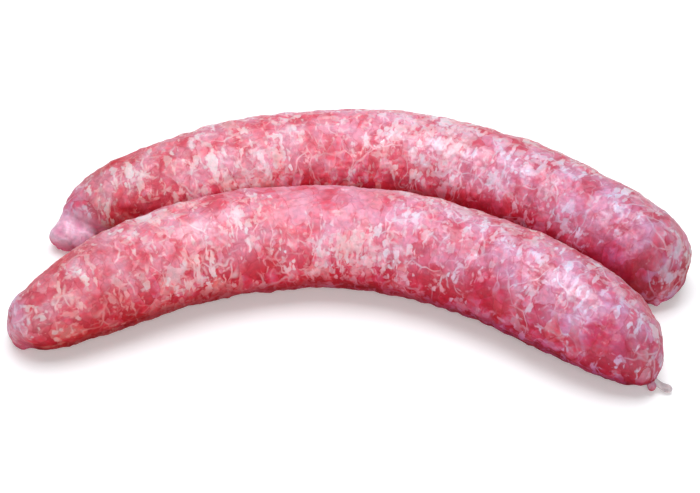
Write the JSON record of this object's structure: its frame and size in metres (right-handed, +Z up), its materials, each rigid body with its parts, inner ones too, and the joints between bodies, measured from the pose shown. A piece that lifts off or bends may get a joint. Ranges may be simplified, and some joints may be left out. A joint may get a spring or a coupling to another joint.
{
  "type": "string of sausage links",
  "caption": "Raw pork sausage links in one natural casing, lying side by side, bent, with a twisted join behind and cut casing tails.",
  "frame": {"origin": "on the surface that the links lie on, under the middle of the whole string's box", "axes": "+X along the links towards the cut ends, +Y from the front link to the back link, +Z up"},
  "size_m": [0.2155, 0.1081, 0.0323],
  "materials": {
    "pork_in_casing": "coarse raw ground pork, lean red with white fat flecks, seen through a thin moist glossy natural casing",
    "bare_casing": "moist translucent natural casing with no filling, pale grey-pink"
  },
  "bodies": {
    "root": {"front_link": "pork_in_casing", "back_link": "pork_in_casing", "link_twist": "bare_casing"}
  },
  "joints": []
}
